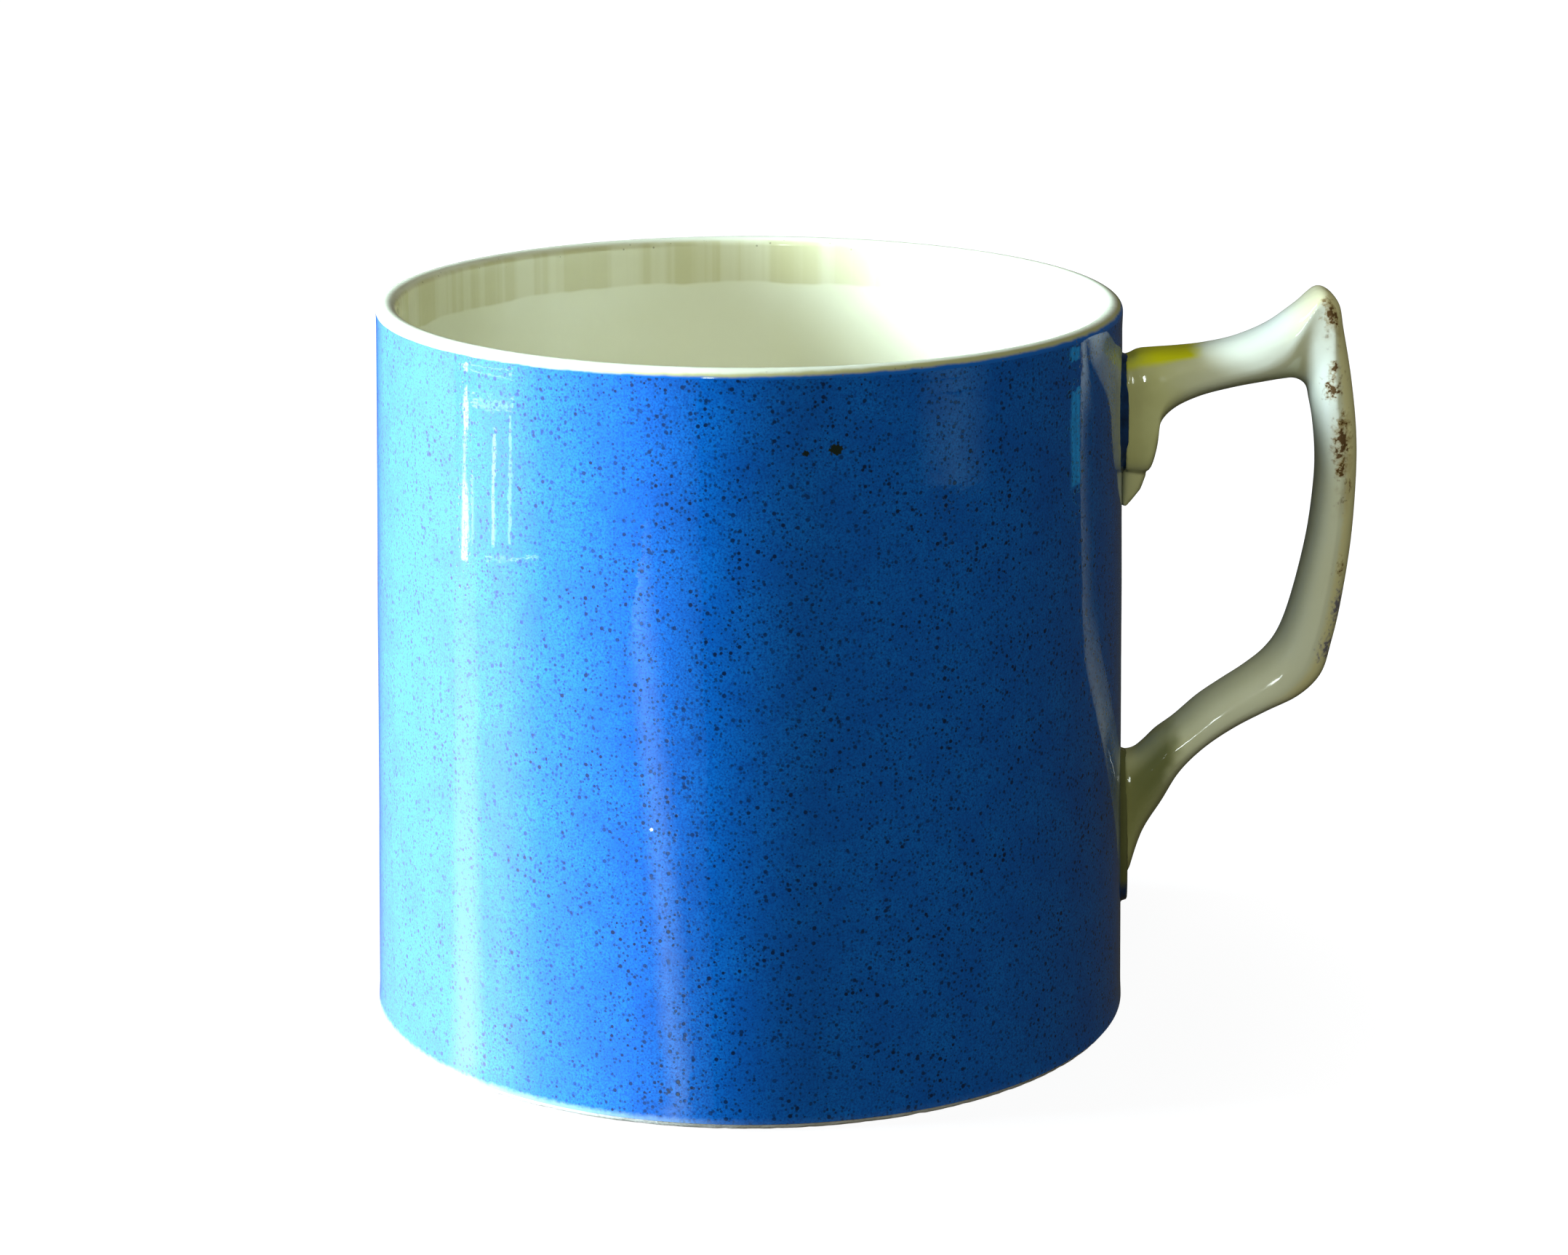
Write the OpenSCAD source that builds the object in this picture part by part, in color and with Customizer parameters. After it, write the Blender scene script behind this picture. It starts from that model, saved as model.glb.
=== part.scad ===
// Straight-sided ceramic mug with a spurred loop handle.
// The clay body and the clay handle are two separate pieces joined by two pads of slip.
// Every glaze coat is its own skin, laid face to face on the clay that it covers.
// +Z is up, the foot stands on Z = 0, the mug's axis is the Z axis and the handle points along +X.

/* [Body] */
// Height from the foot to the crest of the lip
mug_h = 83; // [76:0.1:90]
// Outer radius of the glazed wall at the lip
lip_r = 42; // [40.5:0.1:44]
// Outer radius of the glazed wall at the foot
base_r = 43.7; // [42:0.1:45]
// Radius of the glazed mouth, a straight bore down to the floor's rounding
mouth_r = 39.6; // [37:0.1:39.8]
// Height of the glazed floor above the foot
floor_z = 5; // [4:0.1:8]
// Radius of the rounding between the glazed floor and wall
floor_round = 6; // [3:0.1:10]
// Height of the rounded part of the lip
lip_rise = 1; // [0.6:0.1:2]

/* [Foot] */
// Radius of the rounding at the outside of the foot
foot_round = 0.8; // [0.5:0.1:3]
// Inner radius of the ring that the mug stands on
foot_in_r = 37.5; // [30:0.1:39]
// Depth of the recess inside the foot ring
recess_depth = 2; // [1.2:0.1:2.5]
// How far the side of the recess leans inwards
recess_lean = 0.9; // [0.4:0.1:2]

/* [Glaze] */
// Thickness of every glaze coat
glaze_t = 0.2; // [0.15:0.05:0.45]
// How far a slip pad stands proud of the glazed wall
slip_proud = 0.8; // [0.3:0.05:0.9]
// How far a slip pad shows round the handle's end
slip_margin = 0.3; // [0.2:0.1:0.8]

/* [Handle] */
// Reach of the grip's back from the wall at the lip
reach = 27.1; // [24:0.1:32]
// Width of the handle across its sides at the grip
handle_w = 8.4; // [7:0.1:11]
// Squareness of the handle's back: 2 is an ellipse, more is squarer
back_square = 3; // [2:0.1:4]
// Squareness of the handle's finger side
grip_square = 2.3; // [2:0.1:4]

/* [Hidden] */
$fn = 96;

arc_steps = 10;
section_sides = 20;
rings_per_span = 2;

// Stations of the handle from the upper wall joint, over the thumb spur, to the lower wall joint.
// Each holds the back's [out, up], the finger side's [out, up] and the width as a share of handle_w.
// Out is measured from the lip's radius and up from the foot, for a 27.1 mm reach and an 83 mm mug.
design_reach = 27.1;
design_h = 83;
STATIONS = [
    [1.0, 76.2, 1.3, 59.0, 0.88],
    [2.1, 76.8, 3.3, 62.0, 0.96],
    [3.8, 77.0, 4.2, 65.4, 1.00],
    [5.4, 77.1, 4.4, 68.2, 1.02],
    [7.0, 77.2, 6.0, 70.2, 1.02],
    [9.5, 77.5, 9.0, 71.7, 1.00],
    [13.0, 78.3, 12.8, 72.7, 1.00],
    [16.6, 79.9, 16.2, 73.3, 1.00],
    [19.6, 82.1, 18.4, 73.6, 0.98],
    [22.3, 84.0, 19.9, 73.6, 0.94],
    [24.3, 82.6, 21.1, 72.8, 0.96],
    [25.0, 79.6, 21.6, 71.0, 0.98],
    [26.1, 74.0, 22.1, 68.6, 1.00],
    [26.9, 68.0, 22.5, 65.0, 1.00],
    [27.1, 62.5, 22.5, 61.2, 1.00],
    [26.8, 55.0, 21.9, 55.2, 1.00],
    [25.9, 47.5, 20.5, 48.4, 1.00],
    [25.0, 42.8, 19.1, 44.0, 1.00],
    [24.0, 39.2, 17.4, 41.5, 0.98],
    [21.6, 36.6, 15.0, 39.5, 0.98],
    [18.0, 34.7, 12.4, 37.7, 1.00],
    [14.2, 32.6, 9.8, 35.8, 1.02],
    [10.8, 30.2, 7.2, 33.4, 1.02],
    [8.0, 27.2, 5.3, 31.3, 1.02],
    [6.0, 23.6, 4.0, 30.2, 0.98],
    [3.7, 19.6, 2.9, 29.7, 0.94],
    [2.2, 14.4, 2.0, 29.4, 0.88],
];

lip_half = (lip_r - mouth_r) / 2;
lip_mid = (lip_r + mouth_r) / 2;
rim_z = mug_h - lip_rise;
last_span = len(STATIONS) - 2;
upper_end = [STATIONS[0][3], STATIONS[0][1]] * mug_h / design_h;
lower_end = [STATIONS[last_span + 1][1], STATIONS[last_span + 1][3]] * mug_h / design_h;
// The lower pad trails below the handle's end
lower_tail = 3;
// Half the size of a block that takes in the whole mug
clear = 60;

// Outer radius of the glazed wall at height z
function wall_r(z) = base_r + (lip_r - base_r) * z / mug_h;

// Points on an ellipse's arc from angle a to angle b
function arc(centre, rx, rz, a, b) =
    [for (i = [0:arc_steps]) let(t = a + (b - a) * i / arc_steps) centre + [rx * cos(t), rz * sin(t)]];

// The inside from the floor's centre up to the lip, pushed t into the clay
function inside(t) = concat(
    [[0, floor_z - t]],
    arc([mouth_r - floor_round, floor_z + floor_round], floor_round + t, floor_round + t, 270, 360)
);

// The lip's rounding from the inside over to the outside, pushed t into the clay
function lip(t) = arc([lip_mid, rim_z], lip_half - t, lip_rise - t, 180, 0);

// The underside from the foot ring's inner edge to the centre, pushed t away from the clay
function underside(t) = [
    [foot_in_r - recess_lean - t, recess_depth - t],
    [0, recess_depth - t],
];

module mug_body() {
    foot_centre = [wall_r(foot_round) - glaze_t - foot_round, foot_round];
    color("ivory") rotate_extrude()
        polygon(concat(inside(glaze_t), lip(glaze_t),
                       arc(foot_centre, foot_round, foot_round, 0, -90),
                       [[foot_in_r, 0]], underside(0)));
}

module lining_glaze() {
    clay_side = concat(inside(glaze_t), lip(glaze_t));
    color("cornsilk") rotate_extrude()
        polygon(concat(inside(0), lip(0), [for (i = [len(clay_side) - 1:-1:0]) clay_side[i]]));
}

module base_glaze() {
    // The coat stops this share of the recess's depth above the standing ring
    stop = 0.4;
    stop_z = recess_depth * stop;
    stop_r = foot_in_r - recess_lean * stop;
    color("cornsilk") rotate_extrude()
        polygon(concat([[0, recess_depth], [foot_in_r - recess_lean, recess_depth],
                        [stop_r, stop_z], [stop_r - glaze_t, stop_z]], underside(glaze_t)));
}

// The layer between two pushes outwards of the glazed wall, over a range of heights
module wall_layer(low, high, t_in, t_out) {
    rotate_extrude()
        polygon([[wall_r(low) + t_in, low], [wall_r(low) + t_out, low],
                 [wall_r(high) + t_out, high], [wall_r(high) + t_in, high]]);
}

// A superellipse's point at angle a, [along the chord, across the handle], squarer on the back
function section_point(a, depth, width) =
    let(n = cos(a) > 0 ? back_square : grip_square)
    [sign(cos(a)) * pow(abs(cos(a)), 2 / n) * depth / 2,
     sign(sin(a)) * pow(abs(sin(a)), 2 / n) * width / 2];

// A slip pad's outline seen along X, as [across, up] points
function pad_outline(ends, width) =
    [for (i = [0:2 * section_sides - 1])
        let(p = section_point(180 * i / section_sides, ends[1] - ends[0] + 2 * slip_margin,
                              width + 2 * slip_margin))
        [p[1], (ends[0] + ends[1]) / 2 + p[0]]];

// The straight prism along +X that a pad's outline sweeps
module pad_prism(ends, width) {
    rotate([90, 0, 90]) linear_extrude(clear) polygon(pad_outline(ends, width));
}

module slip_pad(ends, width) {
    color("oldlace") intersection() {
        wall_layer(ends[0] - clear, ends[1] + clear, -glaze_t, slip_proud);
        pad_prism(ends, width);
    }
}

upper_pad = upper_end;
lower_pad = lower_end - [lower_tail, 0];
upper_pad_w = STATIONS[0][4] * handle_w;
lower_pad_w = STATIONS[last_span + 1][4] * handle_w;

module upper_slip_joint() {
    slip_pad(upper_pad, upper_pad_w);
}

module lower_slip_joint() {
    slip_pad(lower_pad, lower_pad_w);
}

module blue_glaze() {
    color("royalblue") difference() {
        wall_layer(foot_round, rim_z, -glaze_t, 0);
        pad_prism(upper_pad, upper_pad_w);
        pad_prism(lower_pad, lower_pad_w);
    }
}

// A station scaled to this mug: [back x, back z, finger x, finger z, width]
function station(i) =
    let(s = STATIONS[i], kx = reach / design_reach, kz = mug_h / design_h)
    [lip_r + s[0] * kx, s[1] * kz, lip_r + s[2] * kx, s[3] * kz, s[4] * handle_w];

// Smooth curve through stations b and c, where t runs from 0 to 1 between them
function blend(a, b, c, d, t) =
    b + t * (c - a) / 2 + t * t * (a - 2.5 * b + 2 * c - d / 2) + t * t * t * (3 * b - a - 3 * c + d) / 2;

function between(i, t) =
    blend(station(max(i - 1, 0)), station(i), station(i + 1), station(min(i + 2, last_span + 1)), t);

// A ring of points round a station, grown by t all round
function ring(s, t) =
    let(back = [s[0], s[1]], front = [s[2], s[3]], mid = (back + front) / 2,
        depth = norm(back - front), u = (back - front) / depth)
    [for (k = [0:section_sides - 1])
        let(p = section_point(360 * k / section_sides, depth + 2 * t, s[4] + 2 * t))
        [mid[0] + u[0] * p[0], p[1], mid[1] + u[1] * p[0]]];

// A ring pushed along X onto the outer face of the slip pads, shrunk about its middle by k
function seated(points, k) =
    let(mid = [for (p = points) 1] * points / len(points))
    [for (p = points) let(y = p[1] * k, z = mid[2] + (p[2] - mid[2]) * k)
        [sqrt(pow(wall_r(z) + slip_proud, 2) - y * y), y, z]];

// Every ring of the handle's surface between its two wall joints, grown by t
function rings(t) = concat(
    [seated(ring(station(0), t), 1)],
    [for (i = [0:last_span], j = [i == 0 ? 1 : 0:rings_per_span - 1]) ring(between(i, j / rings_per_span), t)],
    [seated(ring(station(last_span + 1), t), 1)]
);

// The triangles between consecutive rings, which close into a loop if closed is true
function skin(count, closed) =
    let(n = section_sides)
    [for (i = [0:closed ? count - 1 : count - 2], k = [0:n - 1], half = [0, 1])
        let(a = i * n + k, b = i * n + (k + 1) % n, c = (i + 1) % count * n + k, d = (i + 1) % count * n + (k + 1) % n)
        half == 0 ? [a, b, d] : [a, d, c]];

// The triangles that close a ring to one point
function cap(first, tip, flip) =
    [for (k = [0:section_sides - 1])
        let(a = first + k, b = first + (k + 1) % section_sides)
        flip ? [a, b, tip] : [b, a, tip]];

module handle() {
    surface_rings = rings(-glaze_t);
    top = surface_rings[0];
    bottom = surface_rings[len(surface_rings) - 1];
    all_rings = concat([seated(top, 0.3), seated(top, 0.65)], surface_rings,
                       [seated(bottom, 0.65), seated(bottom, 0.3)]);
    points = [for (r = all_rings) each r];
    count = len(all_rings);
    color("ivory") polyhedron(
        concat(points, [seated(top, 0)[0], seated(bottom, 0)[0]]),
        concat(skin(count, false), cap(0, len(points), false),
               cap((count - 1) * section_sides, len(points) + 1, true)));
}

module handle_glaze() {
    outer = rings(0);
    inner = rings(-glaze_t);
    all_rings = concat(outer, [for (i = [len(inner) - 1:-1:0]) inner[i]]);
    color("cornsilk") polyhedron([for (r = all_rings) each r], skin(len(all_rings), true));
}

mug_body();
handle();
upper_slip_joint();
lower_slip_joint();
blue_glaze();
lining_glaze();
handle_glaze();
base_glaze();
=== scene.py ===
"""The looks of a glazed ceramic mug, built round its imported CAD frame.

Every piece is a smooth, dense mesh of the CAD piece that it stands for: turned pieces are lathed from
profiles in millimetres, and the handle is lofted between two rails and then fused like wet clay.
Lengths are in millimetres in the builders below and in metres in every Blender object.
"""

import math

import bpy
from mathutils import Matrix, Vector, kdtree, noise

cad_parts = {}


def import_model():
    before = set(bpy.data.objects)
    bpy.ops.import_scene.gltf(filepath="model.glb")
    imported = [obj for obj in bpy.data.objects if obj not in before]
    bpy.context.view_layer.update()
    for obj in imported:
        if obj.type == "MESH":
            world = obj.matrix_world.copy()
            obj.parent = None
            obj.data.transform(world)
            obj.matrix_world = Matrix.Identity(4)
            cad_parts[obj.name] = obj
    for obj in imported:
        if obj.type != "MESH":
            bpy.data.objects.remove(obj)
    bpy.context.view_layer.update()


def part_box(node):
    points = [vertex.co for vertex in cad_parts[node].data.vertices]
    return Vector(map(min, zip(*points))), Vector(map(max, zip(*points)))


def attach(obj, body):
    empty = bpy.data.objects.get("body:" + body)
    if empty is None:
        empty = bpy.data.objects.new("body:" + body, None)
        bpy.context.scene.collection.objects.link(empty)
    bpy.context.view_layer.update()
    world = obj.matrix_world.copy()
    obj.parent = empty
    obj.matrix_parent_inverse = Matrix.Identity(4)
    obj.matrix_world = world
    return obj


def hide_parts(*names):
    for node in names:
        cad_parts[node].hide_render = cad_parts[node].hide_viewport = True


MM = 0.001

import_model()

# ---------------------------------------------------------------- sizes

blue_low, blue_high = (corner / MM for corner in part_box("blue_glaze"))
lining_low, lining_high = (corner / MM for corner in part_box("lining_glaze"))
base_low, base_high = (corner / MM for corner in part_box("base_glaze"))
handle_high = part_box("handle_glaze")[1] / MM

# The part's own sizes that no box shows.
GLAZE = 0.2
LIP_HALF = 1.2
FLOOR_ROUND = 6.0
FOOT_IN_R = 37.5
PAD_PROUD = 0.8
SEAT_PROUD = PAD_PROUD - GLAZE

# The sizes that the boxes give.
MUG_H = lining_high.z
FLOOR_Z = lining_low.z + GLAZE
RIM_Z = blue_high.z
FOOT_ROUND = blue_low.z
LIP_R = -lining_low.x
FOOT_R = -blue_low.x
MOUTH_R = LIP_R - 2 * LIP_HALF
RECESS_R = -base_low.x
RECESS_Z = base_high.z
HANDLE_REACH = handle_high.x - LIP_R


def wall_r(z):
    """Radius of the glazed wall at height z."""
    slope = (FOOT_R - LIP_R) / (RIM_Z - FOOT_ROUND)
    return LIP_R + slope * (RIM_Z - z)


# ---------------------------------------------------------------- meshes

SHARP_DEG = 40


def smoothstep(t):
    t = min(max(t, 0.0), 1.0)
    return t * t * (3 - 2 * t)


def make_object(name, points_mm, faces):
    mesh = bpy.data.meshes.new(name)
    mesh.from_pydata([Vector(p) * MM for p in points_mm], [], faces)
    mesh.shade_smooth()
    mesh.set_sharp_from_angle(angle=math.radians(SHARP_DEG))
    obj = bpy.data.objects.new(name, mesh)
    bpy.context.scene.collection.objects.link(obj)
    return obj


def lathe(name, profile, segments, shape=None):
    """Turns a closed profile of (r, z) points about Z.

    Points with r = 0 become poles. shape is a function that moves a point.
    """
    points, rows = [], []
    for r, z in profile:
        if r < 1e-6:
            rows.append([len(points)] * segments)
            points.append((0, 0, z))
            continue
        rows.append(list(range(len(points), len(points) + segments)))
        for i in range(segments):
            a = 2 * math.pi * i / segments
            p = Vector((r * math.cos(a), r * math.sin(a), z))
            points.append(shape(p) if shape else p)
    faces = []
    for one, two in zip(rows, rows[1:] + rows[:1]):
        for i in range(segments):
            j = (i + 1) % segments
            loop = dict.fromkeys((one[i], one[j], two[j], two[i]))
            if len(loop) > 2:
                faces.append(tuple(loop))
    return make_object(name, points, faces)


def arc(r0, z0, rx, rz, start, end, steps):
    """Points on an ellipse's arc, in degrees."""
    turns = [math.radians(start + (end - start) * i / steps) for i in range(steps + 1)]
    return [(r0 + rx * math.cos(t), z0 + rz * math.sin(t)) for t in turns]


def line(r0, z0, r1, z1, steps):
    """Points along a straight stretch, without its last point."""
    return [(r0 + (r1 - r0) * i / steps, z0 + (z1 - z0) * i / steps) for i in range(steps)]


def inside(push):
    """The floor, its rounding and the straight wall inside, pushed into the clay."""
    corner = MOUTH_R - FLOOR_ROUND
    return (
        line(0, FLOOR_Z - push, corner, FLOOR_Z - push, 24)
        + arc(corner, FLOOR_Z + FLOOR_ROUND, FLOOR_ROUND + push, FLOOR_ROUND + push, -90, 0, 16)[:-1]
        + line(MOUTH_R + push, FLOOR_Z + FLOOR_ROUND, MOUTH_R + push, RIM_Z, 60)
    )


def lip(push):
    """The rounded lip, pushed into the clay."""
    middle = LIP_R - LIP_HALF
    return arc(middle, RIM_Z, LIP_HALF - push, MUG_H - RIM_Z - push, 180, 0, 28)


def turned_waver(p):
    """Slow hollows and faint turning marks of a dipped wall, always inwards of the true surface."""
    elsewhere = Vector((5, 0, 0))
    slow = noise.noise(p / 19) + 0.5 * noise.noise(p / 8 + elsewhere)
    marks = noise.noise(Vector((p.x / 60, p.y / 60, p.z / 1.7)))
    depth = 0.035 * (slow - 1.5) + 0.006 * (marks - 1)
    flat = Vector((p.x, p.y, 0)).normalized()
    return p + flat * depth


def outer_only(p):
    """Wavers the outside of the blue coat and leaves its clay side alone."""
    is_outer = math.hypot(p.x, p.y) > wall_r(p.z) - GLAZE / 2
    ends = min(p.z - FOOT_ROUND, RIM_Z - p.z)
    if not is_outer or ends <= 0:
        return p
    return p.lerp(turned_waver(p), smoothstep(ends / 2))


def lining_waver(p):
    """Slow hollows in the lining's straight wall, always into the clay."""
    flat = Vector((p.x, p.y, 0))
    is_wall = MOUTH_R - 0.1 < flat.length < MOUTH_R + GLAZE / 2 and FLOOR_Z < p.z < RIM_Z - 1
    if not is_wall:
        return p
    depth = 0.02 * (noise.noise(p / 14) - 1)
    return p - flat.normalized() * depth


def clay_profile():
    foot_r = wall_r(FOOT_ROUND) - GLAZE
    return (
        inside(GLAZE)
        + lip(GLAZE)
        + line(wall_r(RIM_Z) - GLAZE, RIM_Z, foot_r, FOOT_ROUND, 24)[1:]
        + arc(foot_r - FOOT_ROUND, FOOT_ROUND, FOOT_ROUND, FOOT_ROUND, 0, -90, 10)
        + line(foot_r - FOOT_ROUND, 0, FOOT_IN_R, 0, 8)[1:]
        + line(FOOT_IN_R, 0, RECESS_R, RECESS_Z, 8)
        + line(RECESS_R, RECESS_Z, 0, RECESS_Z, 8)
        + [(0, RECESS_Z)]
    )


def worn_foot(p):
    """Tiny chips and grit on the bare standing ring."""
    if p.z > FOOT_ROUND * 0.9 or math.hypot(p.x, p.y) < FOOT_IN_R:
        return p
    grit = max(noise.noise(p / 1.1), 0) * 0.10 + max(noise.noise(p / 0.45), 0) * 0.05
    return p + Vector((0, 0, grit))


def cup_clay():
    return lathe("cup_clay", clay_profile(), 384, worn_foot)


def blue_coat():
    top, bottom = wall_r(RIM_Z), wall_r(FOOT_ROUND)
    outer = line(bottom, FOOT_ROUND, top, RIM_Z, 160) + [(top, RIM_Z)]
    inner = line(top - GLAZE, RIM_Z, bottom - GLAZE, FOOT_ROUND, 8) + [(bottom - GLAZE, FOOT_ROUND)]
    return lathe("blue_coat", outer + inner, 512, outer_only)


def lining_coat():
    clay_side = inside(GLAZE) + lip(GLAZE)
    return lathe("lining_coat", inside(0) + lip(0) + clay_side[::-1], 448, lining_waver)


def base_coat():
    face_z, low = RECESS_Z - GLAZE, base_low.z
    profile = (
        line(0, face_z, RECESS_R - 1.5, face_z, 24)
        + arc(RECESS_R - 1.5, face_z - 0.5, 1.2, 0.5, 90, 0, 6)
        + [(RECESS_R - 0.1, low), (RECESS_R + 0.3, low)]
        + [(RECESS_R, RECESS_Z), (0, RECESS_Z)]
    )
    return lathe("base_coat", profile, 256)


# Stations of the handle from the upper wall joint, over the thumb spur, to the lower wall joint:
# the back's [out, up], the finger side's [out, up], the width as a share of HANDLE_W, how far through
# the depth the section is widest, how square it is on its finger side and on its back, and how far
# the back's facets lean in. Out is measured from the lip's radius and up from the foot.
STATIONS = [
    [1.0, 76.2, 1.3, 63.0, 0.88, 0.50, 4.5, 4.0, 0.0],
    [2.1, 76.8, 3.3, 63.2, 0.96, 0.50, 4.5, 3.6, 0.0],
    [3.8, 77.0, 4.2, 65.6, 1.00, 0.48, 3.0, 3.2, 0.0],
    [5.4, 77.1, 4.4, 68.2, 1.02, 0.46, 2.3, 3.0, 0.0],
    [7.0, 77.2, 6.0, 70.2, 1.02, 0.45, 2.2, 3.0, 0.0],
    [9.5, 77.5, 9.0, 71.7, 1.00, 0.44, 2.2, 2.8, 0.0],
    [13.0, 78.3, 12.8, 72.7, 1.00, 0.44, 2.2, 2.6, 0.0],
    [16.6, 79.9, 16.2, 73.3, 1.00, 0.46, 2.2, 2.4, 0.0],
    [19.6, 82.1, 18.4, 73.6, 0.98, 0.56, 2.2, 2.4, 0.1],
    [22.3, 84.0, 19.9, 73.6, 0.94, 0.88, 2.2, 2.6, 0.1],
    [24.3, 82.6, 21.1, 72.8, 0.96, 0.76, 2.2, 3.2, 0.2],
    [25.0, 79.6, 21.6, 71.0, 0.98, 0.66, 2.2, 3.6, 0.25],
    [26.1, 74.0, 22.1, 68.6, 1.00, 0.54, 2.2, 4.0, 0.3],
    [26.9, 68.0, 22.5, 65.0, 1.00, 0.53, 2.2, 4.0, 0.3],
    [27.1, 62.5, 22.5, 61.2, 1.00, 0.53, 2.2, 4.0, 0.3],
    [26.8, 55.0, 21.9, 55.2, 1.00, 0.54, 2.2, 4.0, 0.3],
    [25.9, 47.5, 20.5, 48.4, 1.00, 0.56, 2.2, 4.0, 0.3],
    [25.0, 42.8, 19.1, 44.0, 1.00, 0.58, 2.2, 3.8, 0.28],
    [24.0, 39.2, 17.4, 41.5, 0.98, 0.60, 2.2, 3.4, 0.2],
    [21.6, 36.6, 15.0, 39.5, 0.98, 0.62, 2.2, 2.8, 0.1],
    [18.0, 34.7, 12.4, 37.7, 1.00, 0.60, 2.2, 2.3, 0.0],
    [14.2, 32.6, 9.8, 35.8, 1.02, 0.60, 2.2, 2.1, 0.0],
    [10.8, 30.2, 7.2, 33.4, 1.02, 0.60, 2.2, 2.1, 0.0],
    [8.0, 27.2, 5.2, 31.9, 1.02, 0.56, 2.2, 2.1, 0.0],
    [6.0, 23.6, 3.9, 30.6, 0.98, 0.52, 2.3, 2.1, 0.0],
    [3.7, 19.6, 2.9, 29.7, 0.94, 0.50, 2.6, 2.2, 0.0],
    [2.2, 14.4, 2.0, 29.4, 0.88, 0.50, 3.0, 2.3, 0.0],
]
HANDLE_W = 8.4
SECTION = 64
RINGS_PER_SPAN = 5
FARTHEST_OUT = 27.1
REACH_SCALE = HANDLE_REACH / FARTHEST_OUT
BEHIND_SEAT = 0.4


def power(value, exponent):
    """A power that keeps the sign."""
    return math.copysign(abs(value) ** exponent, value)


def section(ridge, finger_square, back_square, lean):
    """Points round the section as shares: the depth from the finger side to the back, and across."""
    points = []
    for k in range(SECTION):
        turn = 2 * math.pi * k / SECTION
        c, s = math.cos(turn), math.sin(turn)
        square = back_square if c > 0 else finger_square
        reach = 1 - ridge if c > 0 else ridge
        past = power(c, 2 / square)
        points.append((ridge + reach * past, power(s, 2 / square) * (1 - lean * max(past, 0))))
    return points


def blend(a, b, c, d, t):
    """Smooth curve through b and c, where t runs from 0 to 1 between them."""
    return [
        q + t * (r - p) / 2 + t * t * (p - 2.5 * q + 2 * r - s / 2) + t**3 * (3 * q - p - 3 * r + s) / 2
        for p, q, r, s in zip(a, b, c, d)
    ]


def stations_between():
    """The stations, with more of them on a smooth curve between each two."""
    last = len(STATIONS) - 1
    rows = []
    for i in range(last):
        around = [STATIONS[min(max(i + n, 0), last)] for n in (-1, 0, 1, 2)]
        rows += [blend(*around, j / RINGS_PER_SPAN) for j in range(RINGS_PER_SPAN)]
    return rows + [STATIONS[last]]


def seated(ring, proud):
    """A ring pushed along X onto a cylinder a little proud of the wall."""
    return [Vector((math.sqrt((wall_r(p.z) + proud) ** 2 - p.y**2), p.y, p.z)) for p in ring]


def handle_rings():
    rings = []
    for out_b, up_b, out_f, up_f, width, *shape in stations_between():
        back = Vector((LIP_R + out_b * REACH_SCALE, 0, up_b))
        front = Vector((LIP_R + out_f * REACH_SCALE, 0, up_f))
        sideways = Vector((0, width * HANDLE_W / 2, 0))
        rings.append([front.lerp(back, depth) + sideways * across for depth, across in section(*shape)])
    rings[0] = seated(rings[0], SEAT_PROUD)
    rings[-1] = seated(rings[-1], SEAT_PROUD)
    return rings


def loft(name, rings):
    """Closes a row of rings into one solid with a flat fan at each end."""
    count = len(rings[0])
    points = [p for ring in rings for p in ring]
    faces = []
    for i in range(len(rings) - 1):
        for k in range(count):
            a, b = i * count + k, i * count + (k + 1) % count
            faces.append((a, b, b + count, a + count))
    for first, flip in ((0, True), ((len(rings) - 1) * count, False)):
        centre = len(points)
        points.append(sum((points[first + k] for k in range(count)), Vector()) / count)
        for k in range(count):
            a, b = first + k, first + (k + 1) % count
            faces.append((b, a, centre) if flip else (a, b, centre))
    return make_object(name, points, faces)


def tongue():
    """The set-back strip of clay that tapers to the wall below the upper joint's squared end."""
    up_out_half = ((65.0, 2.6, 2.4), (62.6, 2.8, 2.4), (61.0, 2.2, 2.3), (59.9, 1.3, 2.2), (59.0, 0.5, 2.0))
    sides, sunk = 24, 0.1
    rings = []
    for up, out, half in up_out_half:
        ring = []
        for k in range(sides):
            turn = 2 * math.pi * k / sides
            c, s = math.cos(turn), math.sin(turn)
            x = wall_r(up) + (out - sunk) / 2 + power(c, 0.6) * (out + sunk) / 2
            ring.append(Vector((x, power(s, 0.6) * half, up)))
        rings.append(ring)
    return loft("tongue", rings[::-1])


def fuse(name, parts, voxel_mm, smooth_steps):
    """Joins overlapping solids into one skin, as glaze does, and evens it out."""
    bpy.ops.object.select_all(action="DESELECT")
    for part in parts:
        part.select_set(True)
    bpy.context.view_layer.objects.active = parts[0]
    bpy.ops.object.join()
    obj = parts[0]
    obj.name = obj.data.name = name
    remesh = obj.modifiers.new("fuse", "REMESH")
    remesh.mode = "VOXEL"
    remesh.voxel_size = voxel_mm * MM
    even = obj.modifiers.new("even", "SMOOTH")
    even.factor = 0.5
    even.iterations = smooth_steps
    for modifier in ("fuse", "even"):
        bpy.ops.object.modifier_apply(modifier=modifier)
    obj.data.shade_smooth()
    return obj


def mark_handle(obj, rings):
    """Stores where each point is round the section, from -1 at the finger side to 1 at the back."""
    tree = kdtree.KDTree(len(rings) * SECTION)
    for i, ring in enumerate(rings):
        for k, p in enumerate(ring):
            tree.insert(p * MM, i * SECTION + k)
    tree.balance()
    turned = obj.data.attributes.new("turned", "FLOAT", "POINT")
    for vertex in obj.data.vertices:
        near = tree.find_n(vertex.co, 4)
        weights = [1 / (distance + 1e-5) for _, _, distance in near]
        turns = [math.cos(2 * math.pi * (index % SECTION) / SECTION) for _, index, _ in near]
        turned.data[vertex.index].value = sum(w * t for w, t in zip(weights, turns)) / sum(weights)


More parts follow.
